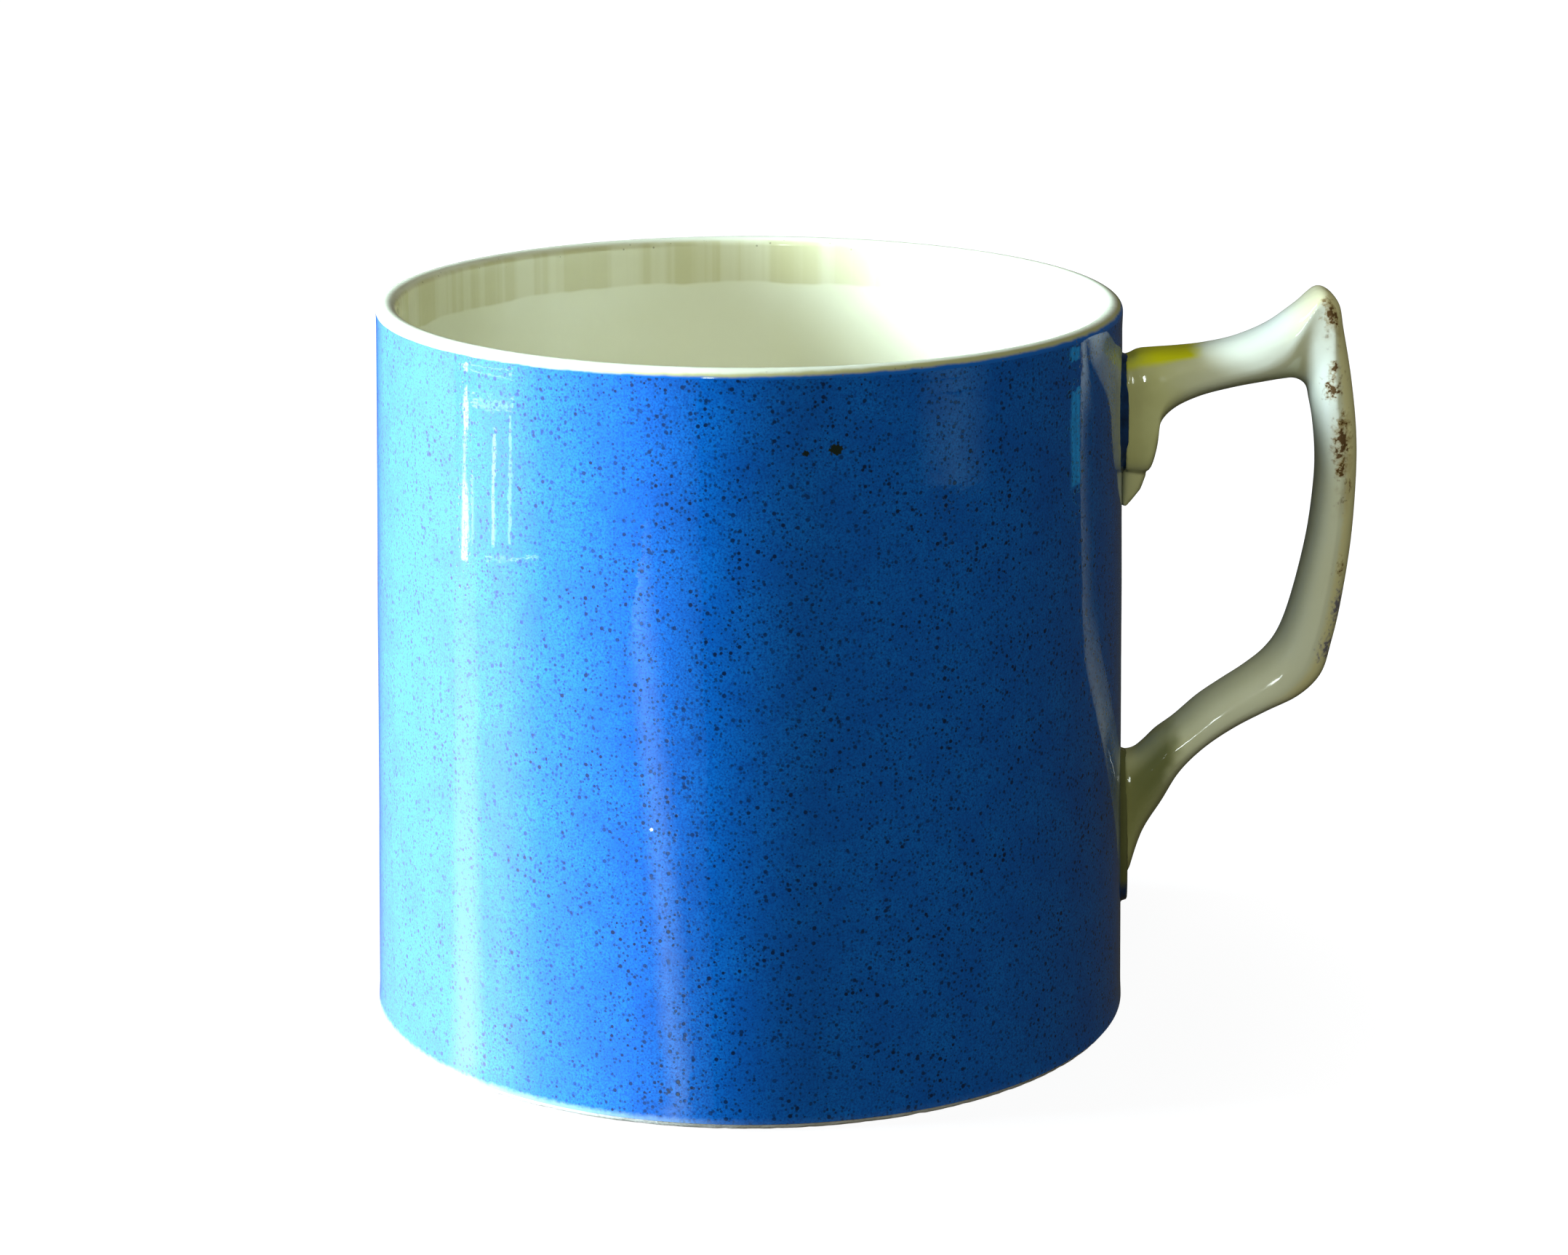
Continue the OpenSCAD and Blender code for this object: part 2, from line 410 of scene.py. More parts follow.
def handle_loop():
    rings = handle_rings()
    whole = [seated(rings[0], BEHIND_SEAT)] + rings + [seated(rings[-1], BEHIND_SEAT)]
    obj = fuse("handle_loop", [loft("loop", whole), tongue()], voxel_mm=0.22, smooth_steps=3)
    mark_handle(obj, rings)
    return obj


# How a slip pad narrows on its way out from the wall: [how proud of the wall, margin round the joint].
PAD_SKIRT = [[-GLAZE, 0.5], [0.03, 0.4], [0.15, 0.25], [0.4, 0.16], [0.65, 0.08], [0.75, -0.1]]
PAD_SIDES = 96


def slip_pad(name, low, high, width):
    """Luting slip squeezed out round a joint: a soft skirt from the wall up to the handle's end."""
    rings = []
    for proud, margin in PAD_SKIRT:
        middle, tall = (low + high) / 2, (high - low) / 2 + margin
        half = width / 2 + margin
        ring = []
        for k in range(PAD_SIDES):
            turn = 2 * math.pi * k / PAD_SIDES
            c, s = math.cos(turn), math.sin(turn)
            y = power(s, 0.8) * half
            z = middle + power(c, 0.7) * tall
            lump = 0.12 * noise.noise(Vector((y / 1.5, z / 1.5, margin)))
            ring.append(Vector((0, y * (1 + lump / half), z)))
        rings.append(seated(ring, proud))
    return loft(name, rings)


# ---------------------------------------------------------------- materials


class Nodes:
    """Short calls for building a material's node tree."""

    def __init__(self, name):
        self.material = bpy.data.materials.new(name)
        self.material.use_nodes = True
        self.tree = self.material.node_tree
        self.tree.nodes.clear()
        self.out = self.tree.nodes.new("ShaderNodeOutputMaterial")

    def put(self, socket, value):
        if isinstance(value, bpy.types.NodeSocket):
            self.tree.links.new(value, socket)
        else:
            socket.default_value = value

    def node(self, kind, inputs=(), **settings):
        made = self.tree.nodes.new("ShaderNode" + kind)
        for key, value in settings.items():
            setattr(made, key, value)
        for key, value in dict(inputs).items():
            self.put(made.inputs[key], value)
        return made

    def math(self, operation, a, b=0.0, clamp=False):
        return self.node("Math", {0: a, 1: b}, operation=operation, use_clamp=clamp).outputs[0]

    def remap(self, value, low, high, to_low=0.0, to_high=1.0):
        inputs = {"Value": value, "From Min": low, "From Max": high, "To Min": to_low, "To Max": to_high}
        return self.node("MapRange", inputs, interpolation_type="SMOOTHSTEP").outputs["Result"]

    def mix(self, share, a, b):
        made = self.node("Mix", data_type="RGBA")
        self.put(made.inputs[0], share)
        self.put(made.inputs[6], a)
        self.put(made.inputs[7], b)
        return made.outputs[2]

    def noise(self, vector, size, detail=2.0):
        inputs = {"Vector": vector, "Scale": 1 / size, "Detail": detail}
        return self.node("TexNoise", inputs).outputs["Fac"]

    def where(self):
        """Object coordinates in millimetres."""
        coords = self.node("TexCoord").outputs["Object"]
        return self.node("VectorMath", {0: coords, "Scale": 1 / MM}, operation="SCALE").outputs[0]

    def uneven(self, value, vector, size, amount, detail=2.0):
        """The value, pushed up and down by noise by up to half of amount."""
        swing = self.math("SUBTRACT", self.noise(vector, size, detail), 0.5)
        return self.math("ADD", value, self.math("MULTIPLY", swing, amount))

    def product(self, *values):
        total = values[0]
        for value in values[1:]:
            total = self.math("MULTIPLY", total, value)
        return total

    def split(self, vector):
        """The vector's X, Y and Z."""
        parts = self.node("SeparateXYZ", {0: vector})
        return tuple(parts.outputs)

    def round_axis(self, vector):
        """The vector without its height, and how far it is from the mug's axis."""
        x, y, _ = self.split(vector)
        flat = self.node("CombineXYZ", {"X": x, "Y": y}).outputs[0]
        return flat, self.node("VectorMath", {0: flat}, operation="LENGTH").outputs["Value"]

    def distance(self, one, other):
        return self.node("VectorMath", {0: one, 1: other}, operation="DISTANCE").outputs["Value"]

    def specks(self, vector, cell, radius, spread):
        """Round specks of uneven size, sliced by the surface from a field of small balls."""
        cells = self.node("TexVoronoi", {"Vector": vector, "Scale": 1 / cell, "Randomness": 1.0})
        size = self.node("SeparateColor", {0: cells.outputs["Color"]}).outputs[0]
        reach = self.math("MULTIPLY", self.remap(size, 0, 1, 1 - spread, 1 + spread), radius / cell)
        inner = self.math("MULTIPLY", reach, 0.6)
        inputs = {"Value": cells.outputs["Distance"], "From Min": inner, "From Max": reach}
        inputs |= {"To Min": 1.0, "To Max": 0.0}
        return self.node("MapRange", inputs, interpolation_type="SMOOTHSTEP").outputs["Result"]

    def blob(self, vector, centre, size):
        """A ragged spot of the given size at a place on the surface."""
        edge = self.uneven(self.distance(vector, centre), vector, size * 0.5, size * 1.5)
        return self.remap(edge, size * 0.75, size, 1, 0)

    def stain(self, under, vector, centre, size, tall, halo, core):
        """A soaked-in stain, stretched upwards: a pale halo with dark grains in it."""
        squeeze = Vector((1, 1, 1 / tall))
        squeezed = self.node("VectorMath", {0: vector, 1: squeeze}, operation="MULTIPLY").outputs[0]
        edge = self.uneven(self.distance(squeezed, centre * squeeze), vector, 0.5, size * 4.5, 3)
        color = self.mix(self.remap(edge, size * 0.6, size * 1.8, 0.7, 0), under, halo)
        return self.mix(self.remap(edge, size * 0.45, size * 0.85, 0.92, 0), color, core)

    def bump(self, height, distance_mm):
        inputs = {"Height": height, "Distance": distance_mm * MM, "Strength": 1.0}
        return self.node("Bump", inputs).outputs[0]

    def surface(self, color, roughness, normal, ior=1.5):
        inputs = {"Base Color": color, "Roughness": roughness, "IOR": ior, "Normal": normal}
        shader = self.node("BsdfPrincipled", inputs)
        self.tree.links.new(shader.outputs[0], self.out.inputs["Surface"])
        return self.material


def on_wall(azimuth_deg, z):
    """A place on the glazed wall, where azimuth 0 faces the viewer and grows towards the handle."""
    a = math.radians(azimuth_deg)
    return Vector((wall_r(z) * math.sin(a), -wall_r(z) * math.cos(a), z))


def powder_blue():
    """Blown-on powder blue: a clouded ground, three sizes of dark specks, a few marks and a thin pale foot,
    faded towards the right as painted shade.
    """
    n = Nodes("powder_blue_glaze")
    at = n.where()
    x, _, z = n.split(at)
    cloud = n.noise(at, 5, 4)
    grain = n.noise(at, 0.22, 2)
    ground = n.mix(n.remap(cloud, 0.3, 0.7), (0.001, 0.114, 0.47, 1), (0.002, 0.152, 0.545, 1))
    ground = n.mix(n.remap(grain, 0.35, 0.7), ground, (0.001, 0.080, 0.36, 1))
    crowd = n.remap(n.noise(at, 6, 2), 0.3, 0.7, 0.65, 1.15)
    fine = n.product(n.specks(at, 0.32, 0.085, 0.5), 0.6)
    middle = n.math("MULTIPLY", n.specks(at, 0.50, 0.15, 0.5), crowd, clamp=True)
    large = n.math("MULTIPLY", n.specks(at, 0.86, 0.19, 0.6), n.product(crowd, 0.9), clamp=True)
    color = n.mix(fine, ground, (0.001, 0.05, 0.25, 1))
    color = n.mix(n.product(middle, 0.85), color, (0.001, 0.034, 0.12, 1))
    color = n.mix(large, color, (0.001, 0.017, 0.065, 1))
    color = n.mix(n.blob(at, on_wall(12.2, 74.5), 0.75), color, (0.012, 0.020, 0.012, 1))
    color = n.mix(n.blob(at, on_wall(7.9, 74.2), 0.38), color, (0.010, 0.018, 0.014, 1))
    color = n.mix(n.blob(at, on_wall(-14.1, 33.5), 0.22), color, (0.75, 0.80, 0.85, 1))
    # The pale foot is the glaze's own; its fading from the lit left to the shaded right is painted shade.
    lit_side_share = n.remap(n.math("ADD", x, n.product(n.noise(at, 9), 12)), -8, 8, 0.6, 0.05)
    foot = n.remap(n.uneven(z, at, 0.7, 0.7), FOOT_ROUND + 0.1, FOOT_ROUND + 0.8, 1, 0)
    color = n.mix(n.product(foot, lit_side_share), color, (0.30, 0.45, 0.62, 1))
    pits = n.math("MAXIMUM", n.product(middle, 0.6), large)
    relief = n.math("SUBTRACT", n.product(n.noise(at, 1.6, 2), 0.5), n.product(pits, 0.35))
    rough = n.remap(n.noise(at, 4, 3), 0.3, 0.8, 0.02, 0.06)
    return n.surface(color, rough, n.bump(relief, 0.014), ior=1.6)


# Stains along the handle's ridge and scuffs on its outer knee: [x, z, size, times taller than wide].
STAINS = [
    [65.0, 83.2, 0.60, 1.0],
    [65.3, 81.5, 0.75, 1.3],
    [65.8, 75.6, 0.45, 1.2],
    [65.6, 73.2, 0.75, 1.3],
    [66.8, 69.4, 0.45, 1.5],
    [66.9, 67.0, 0.80, 2.6],
    [67.0, 63.8, 0.45, 1.5],
    [67.7, 52.0, 0.60, 1.6],
]
SCUFFS = [
    [67.2, 47.5, 0.9, 1.8],
    [66.0, 42.5, 0.9, 1.4],
]
STAIN_Y, SCUFF_Y = -4.0, -2.5
STAIN_HALO, STAIN_CORE = (0.46, 0.33, 0.12, 1), (0.11, 0.045, 0.008, 1)
SCUFF_HALO, SCUFF_CORE = (0.40, 0.36, 0.33, 1), (0.22, 0.20, 0.22, 1)


def ivory_surface(n, at, color):
    rough = n.remap(n.noise(at, 3, 3), 0.3, 0.8, 0.06, 0.13)
    return n.surface(color, rough, n.bump(n.noise(at, 2.4, 2), 0.05), ior=1.6)


def painted_handle_shade(n, at, color, turned):
    """The handle's tints by place, all painted light and shade: olive shade at its roots, a painted yellow
    tone on the top of its arm, darker low root and crease, and shade on its finger side.
    """
    x, _, z = n.split(at)
    reach = n.uneven(n.math("SUBTRACT", x, LIP_R), at, 3, 2.5)
    # Painted shade: olive near both wall joints, fading out about 12 mm out from the lip.
    color = n.mix(n.product(n.remap(reach, 3.0, 12.0, 1, 0), 0.75), color, (0.60, 0.57, 0.17, 1))
    # Painted reflection and shade: a strong yellow on the top of the upper arm near its root, where the
    # rim's shadow falls.
    arm_top_yellow_light = n.product(n.remap(turned, 0.60, 0.80), n.remap(z, 72, 75))
    color = n.mix(n.product(arm_top_yellow_light, n.remap(reach, 7.4, 9.8, 1, 0)), color, (0.84, 0.80, 0.010, 1))
    # Painted shadow: the lower root goes dark olive, less so towards its back.
    low_root_shadow = n.product(n.remap(reach, 5.5, 8.5, 1, 0), n.remap(z, 35, 40, 1, 0))
    olive_shade = n.product(low_root_shadow, n.remap(turned, -0.1, 0.8, 1, 0.35), 0.92)
    color = n.mix(olive_shade, color, (0.15, 0.155, 0.04, 1))
    # Painted shade: darker still within a few millimetres of the wall.
    color = n.mix(n.product(n.remap(reach, 1.0, 4.5, 1, 0), 0.5), color, (0.33, 0.30, 0.09, 1))
    # Painted shade: the finger side, which faces the mug, turns olive.
    return n.mix(n.remap(turned, -0.45, -0.9, 0, 0.5), color, (0.60, 0.57, 0.28, 1))


def handle_wear_and_back_shade(n, at, color, turned):
    """The handle's back facet tinted warm yellow as painted shade, the brown blotches on its ridge, and its
    stains and scuffs.
    """
    x, _, z = n.split(at)
    reach = n.math("SUBTRACT", x, LIP_R)
    # Painted shade: the back facet of the grip, turned away from the window, goes warm yellow.
    back = n.product(n.remap(turned, 0.02, 0.25), n.remap(reach, 17, 22), 0.7)
    color = n.mix(back, color, (0.88, 0.76, 0.30, 1))
    ridge = n.remap(n.math("ABSOLUTE", n.math("SUBTRACT", turned, 0.08)), 0.12, 0.5, 1, 0)
    worn = n.product(ridge, n.remap(z, 57, 62), n.remap(reach, 20.5, 22.5))
    blotch = n.product(n.remap(n.noise(at, 2.6, 4), 0.48, 0.62), worn)
    grains = n.remap(n.noise(at, 0.9, 3), 0.58, 0.66)
    color = n.mix(n.product(blotch, 0.4), color, STAIN_HALO)
    color = n.mix(n.product(blotch, grains, 0.8), color, (0.20, 0.10, 0.02, 1))
    for x_mm, z_mm, size, tall in STAINS:
        color = n.stain(color, at, Vector((x_mm, STAIN_Y, z_mm)), size, tall, STAIN_HALO, STAIN_CORE)
    for x_mm, z_mm, size, tall in SCUFFS:
        color = n.stain(color, at, Vector((x_mm, SCUFF_Y, z_mm)), size, tall, SCUFF_HALO, SCUFF_CORE)
    return color


def handle_ivory():
    n = Nodes("handle_ivory_glaze")
    at = n.where()
    color = n.mix(n.remap(n.noise(at, 12, 3), 0.3, 0.7), (0.85, 0.83, 0.52, 1), (0.88, 0.87, 0.57, 1))
    turned = n.node("Attribute", attribute_name="turned").outputs["Fac"]
    color = painted_handle_shade(n, at, color, turned)
    return ivory_surface(n, at, handle_wear_and_back_shade(n, at, color, turned))


def shade_band_under_lip(n, at, color):
    """A darker tan band just under the lip inside the cup, fainter towards the handle: painted shade, broken
    by upright streaks that stand for a window's painted reflection.
    """
    x, _, z = n.split(at)
    flat, radius = n.round_axis(at)
    level = n.math("ADD", z, n.noise(flat, 7))
    band = n.remap(level, RIM_Z - 4.2, RIM_Z - 3.8)
    inner = n.remap(radius, MOUTH_R + 0.1, MOUTH_R + 0.5, 1, 0)
    # The streaks are a window's reflection, painted in.
    streaks = n.remap(n.noise(flat, 3.5, 3), 0.42, 0.58, 0.45, 0.85)
    # Fainter towards the handle side, where the inside of the cup is lit.
    faint = n.remap(x, 2, 26, 1, 0.25)
    return n.mix(n.product(band, inner, streaks, faint), color, (0.56, 0.52, 0.27, 1))


def lip_border(n, at, color):
    """The lip's outer edge: a tan skirt, widened towards the handle side as painted shade, the blue that
    laps over it, and a few brown flecks.
    """
    x, _, z = n.split(at)
    _, radius = n.round_axis(at)
    outer = n.remap(radius, LIP_R - 0.75, LIP_R - 0.45)
    above = n.uneven(n.math("ADD", z, n.product(x, -0.3 / LIP_R)), at, 1.8, 0.35, 3)
    # The skirt's own tan runs all round; it reaches higher towards the handle side, and that widening is
    # painted shade.
    wide = n.math("ADD", above, n.remap(x, -10, LIP_R, 0.05, -0.35))
    skirt = n.product(n.remap(wide, RIM_Z + 0.45, RIM_Z + 0.8, 1, 0), outer, 0.85)
    color = n.mix(skirt, color, (0.47, 0.44, 0.16, 1))
    blue = n.product(n.remap(above, RIM_Z + 0.12, RIM_Z + 0.48, 1, 0), outer)
    color = n.mix(blue, color, (0.006, 0.13, 0.50, 1))
    near = n.remap(n.math("ABSOLUTE", n.math("SUBTRACT", z, RIM_Z + 0.2)), 0.1, 0.8, 1, 0)
    return n.mix(n.product(n.specks(at, 0.9, 0.11, 0.4), near, 0.6), color, (0.16, 0.14, 0.08, 1))


def cup_ivory_shaded():
    n = Nodes("ivory_glaze")
    at = n.where()
    # Darker than the handle's ivory, though it is the same glaze: painted shade for the cup's inside. The
    # recess under the foot shares it.
    color = n.mix(n.remap(n.noise(at, 12, 3), 0.3, 0.7), (0.74, 0.72, 0.51, 1), (0.77, 0.75, 0.55, 1))
    color = shade_band_under_lip(n, at, color)
    return ivory_surface(n, at, lip_border(n, at, color))


def bare_clay():
    n = Nodes("clay")
    at = n.where()
    tone = n.mix(n.remap(n.noise(at, 3, 4), 0.3, 0.7), (0.66, 0.62, 0.50, 1), (0.80, 0.77, 0.68, 1))
    dirt = n.remap(n.noise(at, 0.9, 4), 0.52, 0.70)
    tone = n.mix(n.product(dirt, 0.5), tone, (0.35, 0.30, 0.21, 1))
    return n.surface(tone, n.remap(n.noise(at, 1, 2), 0, 1, 0.6, 0.9), n.bump(n.noise(at, 0.3, 4), 0.08))


def slip_with_painted_shade():
    """Blue slip, painted far darker than the wall's blue as shade in the joints, paler where it stands
    proud, and olive painted shade under the handle's lower end.
    """
    n = Nodes("slip")
    at = n.where()
    _, _, z = n.split(at)
    _, radius = n.round_axis(at)
    proud = n.uneven(n.math("SUBTRACT", radius, LIP_R), at, 1.2, 0.4)
    # Painted shade: the blue on the joints is much darker than the wall's blue.
    blue = n.mix(n.remap(n.noise(at, 1.5, 3), 0.3, 0.7), (0.003, 0.018, 0.055, 1), (0.006, 0.035, 0.11, 1))
    color = n.mix(n.remap(proud, 1.9, 2.3), blue, (0.12, 0.14, 0.10, 1))
    # Painted shade: olive under the lower joint.
    level = n.math("ADD", z, n.product(n.noise(at, 1.5), 2))
    olive_shade = n.product(n.remap(level, 14.0, 16.0), n.remap(level, 31, 33, 1, 0))
    color = n.mix(olive_shade, color, (0.13, 0.13, 0.04, 1))
    rough = n.remap(n.noise(at, 2), 0, 1, 0.08, 0.2)
    return n.surface(color, rough, n.bump(n.noise(at, 1.2, 2), 0.06), ior=1.6)


# ---------------------------------------------------------------- the room

KEY_TINT, FILL_TINT, BACK_TINT = (0.77, 1.0, 1.20), (0.92, 1.0, 1.02), (1.0, 1.0, 0.98)
PANE_TINT, OVER_TINT = (0.9, 1, 1), (0.76, 1.0, 1.60)

# Lamps round the mug: [name, azimuth, elevation, distance, size, radiance, tint, what it lights].
LAMPS = [
    ["window", -90, 10, 1.0, (0.43, 0.70), 69, KEY_TINT, "diffuse"],
    ["shine", -80, 36, 1.0, (0.16, 0.30), 30, KEY_TINT, "glossy"],
    ["fill", 0, 33, 1.2, (0.6, 0.6), 4.4, FILL_TINT, "diffuse"],
    ["back_fill", 152, 10, 1.2, (0.8, 0.6), 3.4, BACK_TINT, "diffuse"],
    ["pane", -12, 12, 1.2, (0.05, 0.20), 26, PANE_TINT, "glossy"],
]

HAZE_AWAY, BAR_AWAY, STREAK_AWAY = 0.4, 0.12, 0.25
SKY = (0.85, 1.0, 1.1)
SIDE_FADE = [0.02, 0.12, 0.25, 0.45, 0.72, 0.95, 0]
NEAR_SIDE_FADE = [0, 1, 0.95, 0.46, 0.27, 0.15, 0.07, 0.02]
CURTAIN_FADE = [0, 0.5, 1, 0.7, 0.3, 0]

# Cards that the wall mirrors: [name, bottom, top, radiance, tint, distance, fade]. bottom and top are the
# mirror image's edges as (left azimuth, right azimuth, height), and fade is its brightness from left to
# right, or None if it is even.
CARDS = [
    ["side", (-82, -42, -25), (-82, -42, 110), 3.4, (0.9, 0.9, 0.95), HAZE_AWAY, SIDE_FADE],
    ["near_side", (-48.5, -6, -25), (-48.5, -6, 110), 3.3, (0.9, 0.95, 1.0), HAZE_AWAY, NEAR_SIDE_FADE],
    ["bar_1", (-46.4, -45.0, 74.3), (-46.5, -45.4, 77.6), 9, SKY, BAR_AWAY, None],
    ["bar_1_thin", (-46.4, -45.8, 68.5), (-46.3, -45.7, 74.2), 6, SKY, BAR_AWAY, None],
    ["bar_1_low", (-46.9, -45.4, 60.0), (-46.6, -45.3, 68.4), 9, SKY, BAR_AWAY, None],
    ["bar_1_side", (-44.6, -44.1, 62.0), (-44.6, -44.1, 69.0), 3, SKY, BAR_AWAY, None],
    ["bar_2", (-40.2, -39.6, 62.5), (-40.2, -39.6, 74.5), 7, SKY, BAR_AWAY, None],
    ["bar_3", (-37.0, -36.5, 63.4), (-37.0, -36.5, 77.0), 4, SKY, BAR_AWAY, None],
    ["sill", (-41.4, -31.5, 61.4), (-41.4, -31.5, 61.6), 7, SKY, BAR_AWAY, None],
    ["head", (-44.6, -36.0, 77.6), (-44.6, -36.0, 77.9), 6, SKY, BAR_AWAY, None],
    ["curtain", (-12.4, -6.6, 2), (-18.5, -13.5, 62), 1.2, (0.8, 1.0, 0.8), STREAK_AWAY, CURTAIN_FADE],
    ["patch", (24, 37, 71), (24, 37, 81), 0.28, (0.5, 1.0, 1.2), STREAK_AWAY, [0, 0.6, 1, 0.5, 0]],
    ["teal", (54.8, 58.2, 66.5), (54.8, 58.2, 77.5), 0.55, (0.05, 0.9, 1.5), STREAK_AWAY, [0, 1, 0.6, 1, 0]],
]


def camera():
    """The viewer stands in front of the mug, a little above the lip, and looks slightly down."""
    distance, height = 10.2544 * LIP_R * MM, 3.8528 * LIP_R * MM
    pitch, yaw, roll = 0.2664, 0.0091, 0.0012
    ahead = Vector((math.sin(yaw) * math.cos(pitch), math.cos(yaw) * math.cos(pitch), -math.sin(pitch)))
    right = Vector((math.cos(yaw), -math.sin(yaw), 0))
    up = right.cross(ahead)
    right, up = (right * math.cos(roll) + up * math.sin(roll), up * math.cos(roll) - right * math.sin(roll))
    data = bpy.data.cameras.new("camera")
    data.lens, data.sensor_width, data.sensor_fit = 88.78, 36, "HORIZONTAL"
    data.clip_start = 0.01
    obj = bpy.data.objects.new("camera", data)
    turn = Matrix((right, up, -ahead)).transposed().to_4x4()
    obj.matrix_world = Matrix.Translation((0, -distance, height)) @ turn
    bpy.context.scene.collection.objects.link(obj)
    bpy.context.scene.camera = obj


def area_light(name, position, target, size, radiance, color, kind):
    """A rectangular lamp that faces target and adds only diffuse or only glossy light, as kind says."""
    data = bpy.data.lights.new(name, "AREA")
    data.shape = "RECTANGLE"
    data.size, data.size_y = size
    data.energy = 4 * radiance * size[0] * size[1]
    data.color = color
    obj = bpy.data.objects.new(name, data)
    turn = (target - position).to_track_quat("-Z", "Y").to_matrix().to_4x4()
    obj.matrix_world = Matrix.Translation(position) @ turn
    obj.visible_camera = False
    obj.visible_diffuse = kind == "diffuse"
    obj.visible_glossy = kind == "glossy"
    bpy.context.scene.collection.objects.link(obj)
    return obj


def from_direction(azimuth_deg, elevation_deg, distance):
    a, e = math.radians(azimuth_deg), math.radians(elevation_deg)
    return Vector((math.sin(a) * math.cos(e), -math.cos(a) * math.cos(e), math.sin(e))) * distance


def mirrored(azimuth_deg, z, distance):
    """Where the viewer's sight goes, a distance on, once the wall has mirrored it at a place."""
    a = math.radians(azimuth_deg)
    normal = Vector((math.sin(a), -math.cos(a), (FOOT_R - LIP_R) / MUG_H)).normalized()
    spot = on_wall(azimuth_deg, z) * MM
    sight = (spot - bpy.context.scene.camera.matrix_world.translation).normalized()
    return spot + sight.reflect(normal) * distance


def glint(name, bottom, top, radiance, tint, distance, fade):
    """A glossy-only card whose mirror image fills a patch of the wall. CARDS says what the values are."""
    corners = [mirrored(a, row[2], distance) for row in (bottom, top) for a in row[:2]]
    low, high = (corners[0] + corners[1]) / 2, (corners[2] + corners[3]) / 2
    left, right = (corners[0] + corners[2]) / 2, (corners[1] + corners[3]) / 2
    centre = (low + high) / 2
    patch = on_wall((bottom[0] + top[1]) / 2, (bottom[2] + top[2]) / 2) * MM
    away = (centre - patch).normalized()
    up = (high - low) - away * (high - low).dot(away)
    y_axis = up.normalized()
    x_axis = y_axis.cross(away)
    width = abs((right - left).dot(x_axis))
    obj = area_light(name, centre, patch, (width, up.length), radiance, tint, "glossy")
    obj.matrix_world = Matrix.Translation(centre) @ Matrix((x_axis, y_axis, away)).transposed().to_4x4()
    if fade:
        if (right - left).dot(x_axis) < 0:
            fade = fade[::-1]
        shade_card(obj.data, fade)
    return obj


def shade_card(data, fade):
    """Lets a lamp's brightness run through the values in fade across its width."""
    data.use_nodes = True
    tree = data.node_tree
    emission = next(node for node in tree.nodes if node.type == "EMISSION")
    across = tree.nodes.new("ShaderNodeNewGeometry")
    split = tree.nodes.new("ShaderNodeSeparateXYZ")
    ramp = tree.nodes.new("ShaderNodeValToRGB")
    tree.links.new(across.outputs["Parametric"], split.inputs[0])
    tree.links.new(split.outputs[0], ramp.inputs[0])
    tree.links.new(ramp.outputs[0], emission.inputs["Strength"])
    stops = ramp.color_ramp.elements
    while len(stops) < len(fade):
        stops.new(0.5)
    for i, value in enumerate(fade):
        stops[i].position = i / (len(fade) - 1)
        stops[i].color = (value, value, value, 1)


def lamps():
    """A tall soft window at the left, its shine, weak fills in front and behind, and a small pane."""
    middle = Vector((0, 0, MUG_H / 2 * MM))
    made = {}
    for name, azimuth, elevation, distance, size, radiance, tint, kind in LAMPS:
        position = middle + from_direction(azimuth, elevation, distance)
        made[name] = area_light(name, position, middle, size, radiance, tint, kind)
    return made


def reflections(*walls):
    """What the given walls alone mirror: a hazy bright side, and a window's bars as upright streaks."""
    lit = bpy.data.collections.new("mirroring")
    for wall in walls:
        lit.objects.link(wall)
    for values in CARDS:
        glint(*values).light_linking.receiver_collection = lit


def light_handle(handle, window):
    """Swaps the window's light on the handle for a softer share that comes in over the mug's rim."""
    shaded = bpy.data.collections.new("not_under_window")
    shaded.objects.link(handle)
    shaded.collection_objects[0].light_linking.link_state = "EXCLUDE"
    window.light_linking.receiver_collection = shaded
    grip = Vector((62, -4, 66)) * MM
    position = grip + from_direction(-66, 25, 1.0)
    over = area_light("over_rim", position, grip, (0.30, 0.18), 58, OVER_TINT, "diffuse")
    lit = bpy.data.collections.new("over_rim_lit")
    lit.objects.link(handle)
    over.light_linking.receiver_collection = lit


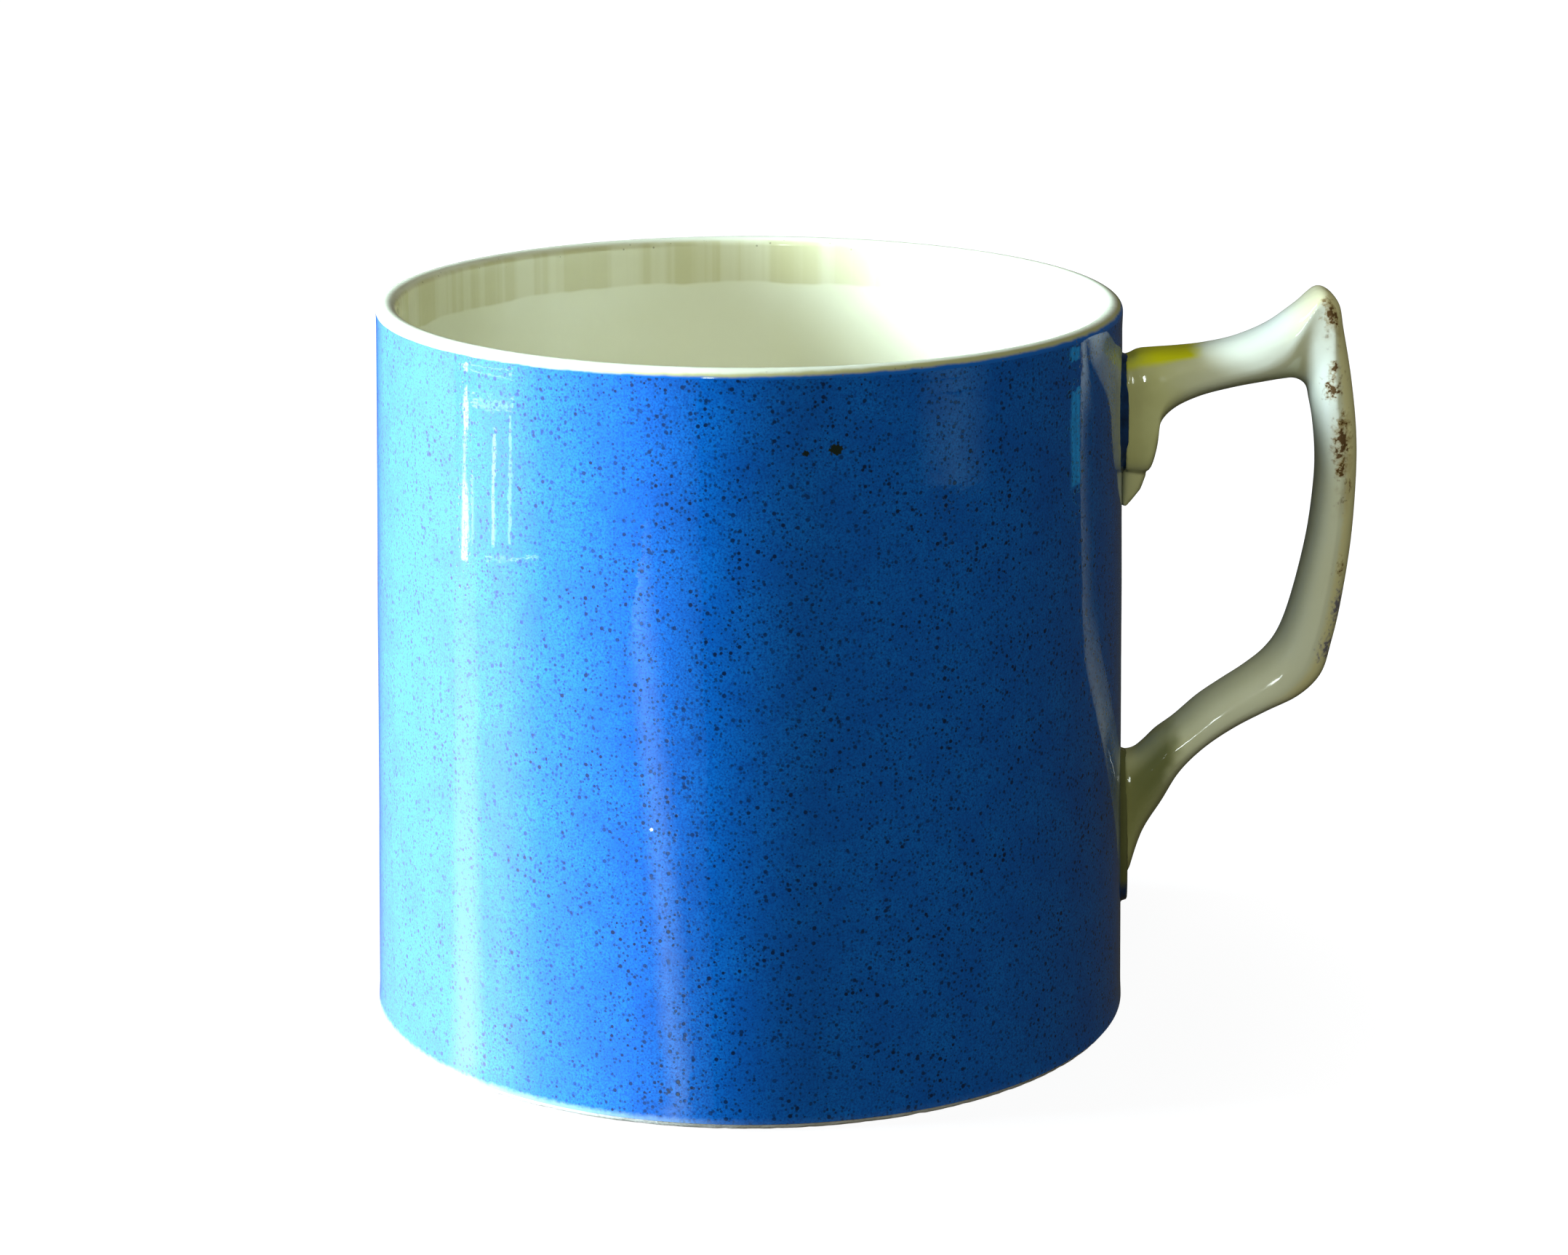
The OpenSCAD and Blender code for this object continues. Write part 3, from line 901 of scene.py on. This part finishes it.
def world():
    """White where the camera looks past the mug, and a faint warm glow on the mug itself."""
    made = bpy.data.worlds.new("room")
    made.use_nodes = True
    tree = made.node_tree
    tree.nodes.clear()
    out = tree.nodes.new("ShaderNodeOutputWorld")
    seen = tree.nodes.new("ShaderNodeBackground")
    seen.inputs["Color"].default_value = (1, 1, 1, 1)
    around = tree.nodes.new("ShaderNodeBackground")
    around.inputs["Color"].default_value = (1.1, 1.0, 0.6, 1)
    around.inputs["Strength"].default_value = 0.04
    path = tree.nodes.new("ShaderNodeLightPath")
    mix = tree.nodes.new("ShaderNodeMixShader")
    tree.links.new(path.outputs["Is Camera Ray"], mix.inputs[0])
    tree.links.new(around.outputs[0], mix.inputs[1])
    tree.links.new(seen.outputs[0], mix.inputs[2])
    tree.links.new(mix.outputs[0], out.inputs["Surface"])
    bpy.context.scene.world = made


def floor():
    """A plain white floor with a pale shade round the mug. It throws no light back on the mug."""
    half, drop = 3000, 0.02
    corners = [(-half, -half, 0), (half, -half, 0), (half, half, 0), (-half, half, 0)]
    obj = make_object("floor", corners, [(0, 1, 2, 3)])
    obj.location.z = -drop * MM
    n = Nodes("floor_white")
    away = n.node("VectorMath", {0: n.where()}, operation="LENGTH").outputs["Value"]
    # Painted shade: the glow is dimmer within about 110 mm of the mug's axis.
    glow = n.node("Emission", {"Color": (1, 1, 1, 1), "Strength": n.remap(away, 46, 110, 0.94, 1.03)})
    matte = n.node("BsdfDiffuse", {"Color": (0.08, 0.08, 0.08, 1)})
    both = n.node("AddShader", {0: glow.outputs[0], 1: matte.outputs[0]})
    n.tree.links.new(both.outputs[0], n.out.inputs["Surface"])
    obj.data.materials.append(n.material)
    obj.visible_diffuse = False
    obj.visible_glossy = False
    obj.visible_shadow = False


# ---------------------------------------------------------------- the assembly

# The lower and upper ends of the two slip joints, and their width.
UPPER_JOINT = (63.0, 76.2)
LOWER_JOINT = (11.4, 29.4)
JOINT_W = 0.88 * HANDLE_W


def place(obj, material, slot, *nodes):
    """Gives a piece its material and hides the CAD nodes that it stands for. The slot is not used."""
    obj.data.materials.clear()
    obj.data.materials.append(material)
    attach(obj, "root")
    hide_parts(*nodes)


camera()
world()
window = lamps()["window"]
floor()

ivory = cup_ivory_shaded()
slip = slip_with_painted_shade()
coat, lining = blue_coat(), lining_coat()
reflections(coat, lining)
place(cup_clay(), bare_clay(), "clay", "mug_body")
place(coat, powder_blue(), "powder_blue_glaze", "blue_glaze")
place(lining, ivory, "ivory_glaze", "lining_glaze")
place(base_coat(), ivory, "ivory_glaze", "base_glaze")
loop = handle_loop()
light_handle(loop, window)
place(loop, handle_ivory(), "ivory_glaze", "handle", "handle_glaze")
place(slip_pad("upper_slip", *UPPER_JOINT, JOINT_W), slip, "slip", "upper_slip_joint")
place(slip_pad("lower_slip", *LOWER_JOINT, JOINT_W), slip, "slip", "lower_slip_joint")

bpy.context.scene.view_settings.view_transform = "Standard"
